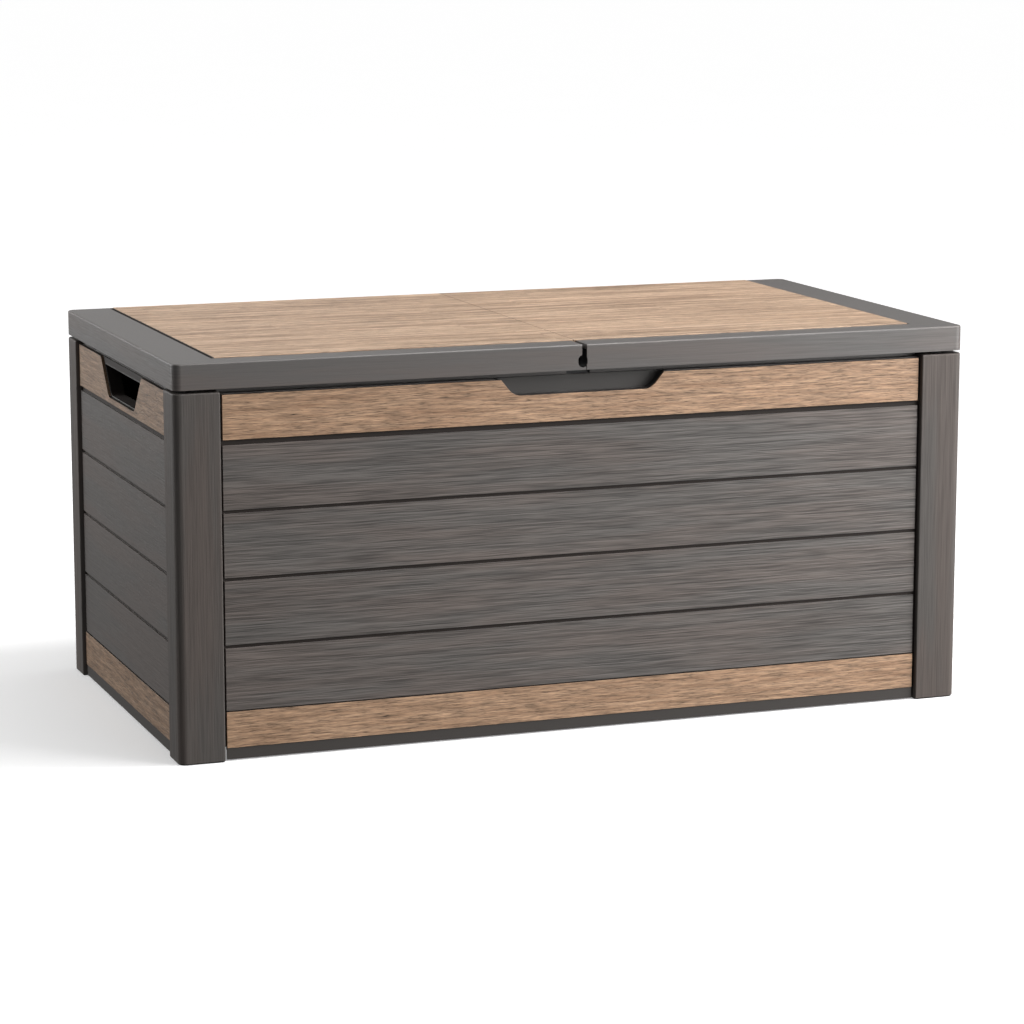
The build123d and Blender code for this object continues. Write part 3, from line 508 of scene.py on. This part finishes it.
class Finishes:
    """Every finish of the box, made once."""

    def __init__(self) -> None:
        """Builds the materials."""
        self.planks = BrushedResin("resin_brushed_level", Grain.LEVEL).build()
        self.ends = BrushedResin("resin_brushed_ends", Grain.LEVEL, contrast=0.22, depth=0.0001,
                                 colour=(0.104, 0.095, 0.089)).build()
        self.posts = BrushedResin("resin_brushed_posts", Grain.UPRIGHT, contrast=0.16, depth=0.0001,
                                  colour=(0.099, 0.090, 0.084), gloss=0.2).build()
        self.lid = BrushedResin("resin_brushed_lid", Grain.LEVEL, contrast=0.12, depth=0.00006,
                                colour=(0.107, 0.099, 0.094), gloss=0.6).build()
        self.lid_top = SmoothResin("resin_lid_top", (0.107, 0.100, 0.096), rough=0.42).build()
        # Painted shade: near-black resin that stands for the shade in grooves, on band tops and undersides,
        # in lid recesses and at panel ends.
        self.groove_shade = SmoothResin("resin_groove_painted_shade", (0.026, 0.020, 0.017), rough=0.65, gloss=0.25).build()
        # Painted shade: a darker grey for the set-back skirt along the foot of each wall.
        self.skirt_shade = SmoothResin("resin_skirt_painted_shade", (0.058, 0.052, 0.048), rough=0.6, gloss=0.3).build()
        # Painted shade: a dark grey for the inside of the front grip pocket.
        self.pocket = SmoothResin("resin_pocket_painted_shade", (0.050, 0.046, 0.043), rough=0.62).build()
        # Painted shade: a dark grey for the bar seen in each hand hole.
        self.bar_shade = SmoothResin("resin_hand_bar_painted_shade", (0.042, 0.039, 0.037), rough=0.62, gloss=0.4).build()
        # Painted shade: near-black for the inside of each hand hole.
        self.hollow_shade = SmoothResin("resin_hand_hole_painted_shade", (0.024, 0.019, 0.016), rough=0.75, gloss=0.2).build()
        self.inner = SmoothResin("resin_inner", (0.100, 0.092, 0.087)).build()
        self.wood_x = WoodLook("wood_look_long", Grain.ALONG_X).build()
        # Painted shade: a darker copy of the wood look, for the end walls' bands.
        self.wood_y_shaded = WoodLook("wood_look_end_painted_shade", Grain.ALONG_Y, pale=(0.330, 0.220, 0.144),
                               tan=(0.225, 0.140, 0.087), brown=(0.105, 0.060, 0.037)).build()
        # Partly painted light: the top's palette is paler and greyer than the bands', which is painted top
        # light and sheen. Its boards, streaks and fibres are printed figure.
        self.wood_top_lit = WoodLook("wood_look_top_painted_light", Grain.ALONG_X, pale=(0.455, 0.325, 0.229),
                                 tan=(0.330, 0.220, 0.147), brown=(0.165, 0.100, 0.065),
                                 streaks=(3.2, 70.0), boards=Boards(width=0.078), streak_gain=1.2).build()
        self.black = Metal("black_powder_coat", (0.020, 0.020, 0.021), 0.0, 0.45).build()
        self.zinc = Metal("zinc_plate", (0.56, 0.56, 0.54), 1.0, 0.36, mottle=0.25).build()
        self.polished = Metal("polished_rod", (0.78, 0.78, 0.80), 1.0, 0.12, mottle=0.02).build()
        self.rubber = Rubber().build()


# ---------------------------------------------------------------- mesh helpers

def piece_from(bm: bmesh.types.BMesh, name: str, *materials: bpy.types.Material) -> bpy.types.Object:
    """Turns a bmesh into an object at the origin, with smooth, face-weighted shading.

    Args:
        bm: the mesh, which is freed.
        name: the piece's name.
        materials: its finishes, in the order of the faces' material index.

    Returns:
        The new object.
    """
    mesh = bpy.data.meshes.new(name)
    bm.to_mesh(mesh)
    bm.free()
    mesh.shade_smooth()
    mesh.set_sharp_from_angle(angle=math.radians(SHADE_ANGLE))
    for material in materials:
        mesh.materials.append(material)
    piece = bpy.data.objects.new(name, mesh)
    bpy.context.scene.collection.objects.link(piece)
    weighted = piece.modifiers.new("face_weighted", "WEIGHTED_NORMAL")
    weighted.keep_sharp = True
    return piece


def sharp_edges(bm: bmesh.types.BMesh, over: float) -> list[bmesh.types.BMEdge]:
    """Edges whose two faces meet at more than the given angle in degrees."""
    limit = math.radians(over)
    return [e for e in bm.edges if len(e.link_faces) == 2 and e.calc_face_angle(0.0) > limit]


def round_edges(bm: bmesh.types.BMesh, edges: list[bmesh.types.BMEdge], radius: float, segments: int) -> None:
    """Bevels edges to a round.

    Args:
        bm: the mesh.
        edges: what to round.
        radius: the bevel's width, in metres.
        segments: how many faces each round gets.
    """
    bmesh.ops.bevel(bm, geom=edges, offset=radius, segments=segments, profile=0.5, affect="EDGES",
                    clamp_overlap=True, material=-1)


def behind(outward: Vector, step: float, facing: bool = True) -> Picker:
    """Picks faces that lie behind the outer face, such as a groove's floor.

    Args:
        outward: the way the outer face looks.
        step: how far behind the outer face they begin, in metres.
        facing: whether they must look outward too.

    Returns:
        The picker.
    """
    def pick(bm: bmesh.types.BMesh) -> list[bmesh.types.BMFace]:
        """The faces of one mesh."""
        front = max(v.co.dot(outward) for v in bm.verts)
        deep = [f for f in bm.faces if front - f.calc_center_median().dot(outward) > step]
        return [f for f in deep if not facing or f.normal.dot(outward) > FACING]
    return pick


def looking(way: Vector) -> Picker:
    """Picks faces that look one way."""
    return lambda bm: [f for f in bm.faces if f.normal.dot(way) > FACING]


def square_to(axis: Vector) -> Picker:
    """Picks faces square to an axis, looking either way along it."""
    return lambda bm: [f for f in bm.faces if abs(f.normal.dot(axis)) > FACING]


def below(height: float) -> Picker:
    """Picks faces whose middle is lower than a height in metres."""
    return lambda bm: [f for f in bm.faces if f.calc_center_median().z < height]


@dataclass
class Moulding:
    """A part with the CAD node's exact shape and its edges rounded, as a mould leaves them.

    Each of extras is a finish and the picker of the faces that take it. A later one wins.
    """

    node: str
    body: str
    slot: str
    material: bpy.types.Material
    radius: float = 0.0008
    segments: int = 2
    extras: tuple[tuple[bpy.types.Material, Picker], ...] = ()

    def build(self) -> bpy.types.Object:
        """Makes the part and puts it in its node's place."""
        bm = bmesh.new()
        bm.from_mesh(frame["nodes"][self.node].data)
        bmesh.ops.remove_doubles(bm, verts=bm.verts, dist=MERGE)
        bmesh.ops.dissolve_limit(bm, angle_limit=math.radians(FLAT_ANGLE), use_dissolve_boundaries=False,
                                 verts=bm.verts, edges=bm.edges)
        for index, (_, pick) in enumerate(self.extras, start=1):
            for face in pick(bm):
                face.material_index = index
        round_edges(bm, sharp_edges(bm, ROUND_ANGLE), self.radius, self.segments)
        piece = piece_from(bm, f"{self.node}_moulding", self.material, *(extra for extra, _ in self.extras))
        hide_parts(self.node)
        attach(piece, self.body)
        log.info("%s: %d faces", piece.name, len(piece.data.polygons))
        return piece


# ---------------------------------------------------------------- sub-assemblies

@dataclass
class Carcass:
    """Walls, posts, bands, rims and floor.

    A wall's grooves begin groove_depth behind its planks, and its inside begins inside_depth behind them.
    """

    finishes: Finishes
    wall_radius: float = 0.0012
    band_radius: float = 0.0011
    skirt_top: float = 0.0185
    groove_depth: float = 0.002
    inside_depth: float = 0.005
    sides: tuple[tuple[str, Vector], ...] = (
        ("front", Vector((0, -1, 0))), ("back", Vector((0, 1, 0))),
        ("left", Vector((-1, 0, 0))), ("right", Vector((1, 0, 0))))

    def build(self) -> None:
        """Makes the carcass."""
        f = self.finishes
        for side, outward in self.sides:
            self.side(side, outward)
        for corner in ("front_left", "front_right", "back_left", "back_right"):
            Moulding(f"{corner}_post", "box", "grey_resin", f.posts).build()
        # The grip pocket's inside gets painted shade, dark grey.
        Moulding("front_grip_pocket", "box", "grey_resin", f.pocket).build()
        for side in ("left", "right"):
            # The hand hole's inside is painted shade, near-black.
            Moulding(f"{side}_hand_hole_frame", "box", "grey_resin", f.hollow_shade,
                     # The bar across the hole is painted shade, dark grey.
                     extras=((f.bar_shade, square_to(ALONG)),)).build()
        for node in ("front_rim_bridge", "floor_left", "floor_right", "floor_seam_beam"):
            Moulding(node, "box", "grey_resin", f.inner).build()

    def side(self, side: str, outward: Vector) -> None:
        """Makes one side's wall, rim and bands.

        Args:
            side: the side's name.
            outward: the way it looks.
        """
        f = self.finishes
        # The end walls' bands take the wood look's darker copy, which is painted shade.
        planks, wood = (f.planks, f.wood_x) if side in ("front", "back") else (f.ends, f.wood_y_shaded)
        extras = ((f.inner, behind(outward, self.inside_depth, facing=False)),
                  # Groove floors get painted shade, near-black.
                  (f.groove_shade, behind(outward, self.groove_depth)),
                  # The set-back skirt gets a darker grey that is painted shade.
                  (f.skirt_shade, below(self.skirt_top)))
        Moulding(f"{side}_wall", "box", "grey_resin", planks, self.wall_radius, extras=extras).build()
        Moulding(f"{side}_rim", "box", "grey_resin", f.inner).build()
        for level in ("upper", "lower"):
            Moulding(f"{side}_{level}_band", "box", "wood_look_resin", wood, self.band_radius,
                     # The band's top and under faces get painted shade, near-black.
                     extras=((f.groove_shade, square_to(UP)),)).build()


@dataclass
class Lid:
    """The two shells, their wood-look panels and the clip along their seam."""

    finishes: Finishes
    shell_radius: float = 0.0007
    panel_radius: float = 0.0004
    groove_depth: float = 0.002

    def build(self) -> None:
        """Makes the lid."""
        f = self.finishes
        for side in ("left", "right"):
            # Lid faces sunk below the top get painted shade, near-black.
            extras = ((f.lid_top, looking(UP)), (f.groove_shade, behind(UP, self.groove_depth)))
            Moulding(f"lid_shell_{side}", "lid", "grey_resin", f.lid, self.shell_radius,
                     extras=extras).build()
            # The panels take the wood look's paler copy, which is painted top light and sheen over printed
            # boards.
            Moulding(f"lid_panel_{side}", "lid", "wood_look_resin", f.wood_top_lit, self.panel_radius,
                     # The panel's end faces get painted shade, near-black.
                     extras=((f.groove_shade, square_to(ALONG)),)).build()
        Moulding("lid_seam_clip", "lid", "grey_resin", f.inner, self.panel_radius).build()


@dataclass
class Fittings:
    """The metal and rubber parts, which keep their CAD shape."""

    finishes: Finishes
    by_slot: dict[str, str] = field(default_factory=lambda: {
        "black_steel": "black", "zinc_steel": "zinc", "polished_rod": "polished", "rubber": "rubber"})

    def build(self) -> None:
        """Dresses each fitting with its slot's finish."""
        for row in frame["record"]["subparts"]:
            finish = self.by_slot.get(row["material_slot"])
            if finish is None:
                continue
            node = frame["nodes"][row["node"]]
            node.data.materials.clear()
            node.data.materials.append(getattr(self.finishes, finish))
            log.info("%s: %s", row["node"], finish)


# ---------------------------------------------------------------- studio

@dataclass(frozen=True)
class Lamp:
    """A square soft light aimed at the box. Its size is its side in metres, its power is in watts."""

    name: str
    place: Triple
    size: float
    power: float
    aim: Triple = (0.0, 0.0, 0.25)

    def build(self) -> None:
        """Hangs the lamp, out of the camera's sight."""
        data = bpy.data.lights.new(self.name, "AREA")
        data.shape = "SQUARE"
        data.size = self.size
        data.energy = self.power
        lamp = bpy.data.objects.new(self.name, data)
        lamp.visible_camera = False
        bpy.context.scene.collection.objects.link(lamp)
        lamp.matrix_world = aimed(Vector(self.place), Vector(self.aim) - Vector(self.place))


def aimed(place: Vector, way: Vector) -> Matrix:
    """Where a camera or lamp is and the way it looks, as one matrix.

    Args:
        place: where it is.
        way: the way it looks.

    Returns:
        The matrix.
    """
    return Matrix.Translation(place) @ way.to_track_quat("-Z", "Y").to_matrix().to_4x4()


@dataclass
class Studio:
    """Floor, lights and camera."""

    eye: Triple = (-1.749, -4.775, 1.2106)
    yaw: float = 0.3526
    pitch: float = 0.18398
    lens: float = 119.8
    clip_end: float = 200.0
    floor_size: float = 80.0
    floor_tones: Pair = (0.78, 0.80)
    floor_clouds: float = 2.0
    floor_rough: float = 0.95
    glow_near: float = 0.26
    glow_far: float = 0.60
    glow_reach: Pair = (0.6, 4.2)
    sky: float = 0.17
    sun_from: Triple = (0.26, -0.22, 0.94)
    sun_strength: float = 1.1
    sun_spread: float = 55.0
    lamps: tuple[Lamp, ...] = (
        Lamp("key", (2.6, -2.0, 1.3), 2.6, 172.0),
        Lamp("kicker", (-2.6, 2.2, 1.4), 2.4, 80.0),
        Lamp("back_strip", (0.1, 3.2, 1.1), 1.6, 3.0),
        Lamp("overhead_soft", (1.0, -0.55, 3.0), 0.6, 50.0))

    def build(self) -> None:
        """Sets the stage."""
        self.camera()
        self.floor()
        for lamp in self.lamps:
            lamp.build()
        self.sun()
        world = bpy.data.worlds.new("studio")
        world.use_nodes = True
        background = world.node_tree.nodes["Background"]
        background.inputs["Color"].default_value = (1.0, 1.0, 1.0, 1.0)
        background.inputs["Strength"].default_value = self.sky
        bpy.context.scene.world = world
        bpy.context.scene.view_settings.view_transform = "Standard"

    def camera(self) -> None:
        """Places the camera."""
        data = bpy.data.cameras.new("camera")
        data.lens = self.lens
        data.clip_end = self.clip_end
        camera = bpy.data.objects.new("camera", data)
        bpy.context.scene.collection.objects.link(camera)
        level = math.cos(self.pitch)
        forward = Vector((math.sin(self.yaw) * level, math.cos(self.yaw) * level, -math.sin(self.pitch)))
        camera.matrix_world = aimed(Vector(self.eye), forward)
        bpy.context.scene.camera = camera

    def floor(self) -> None:
        """Lays the pale floor, which glows more with distance and sheds no light on the box."""
        bm = bmesh.new()
        bmesh.ops.create_grid(bm, x_segments=1, y_segments=1, size=self.floor_size / 2)
        tree = Tree("studio_floor")
        place = tree.place()
        dull, pale = (even(tone) for tone in self.floor_tones)
        distance = tree.add("ShaderNodeVectorMath", {"operation": "LENGTH"}, {0: place}, "Value")
        glow = tree.mix(distance.ramp(*self.glow_reach), even(self.glow_near), even(self.glow_far))
        base = tree.mix(tree.noise(place, even(self.floor_clouds), 1.0), dull, pale)
        material = tree.finish({"Base Color": base, "Roughness": self.floor_rough, "Specular IOR Level": 0.0,
                                "Emission Color": glow, "Emission Strength": 1.0})
        floor = piece_from(bm, "floor", material)
        floor.modifiers.clear()
        floor.visible_diffuse = False
        floor.visible_glossy = False

    def sun(self) -> None:
        """Adds the broad overhead light that keeps the floor even."""
        data = bpy.data.lights.new("overhead", "SUN")
        data.energy = self.sun_strength
        data.angle = math.radians(self.sun_spread)
        lamp = bpy.data.objects.new("overhead", data)
        bpy.context.scene.collection.objects.link(lamp)
        lamp.matrix_world = aimed(Vector(), -Vector(self.sun_from))


def main() -> None:
    """Builds the box's looks in order."""
    logging.basicConfig(level=logging.INFO, format="%(message)s")
    finishes = Finishes()
    Studio().build()
    Carcass(finishes).build()
    Lid(finishes).build()
    Fittings(finishes).build()


if __name__ == "__main__":
    main()
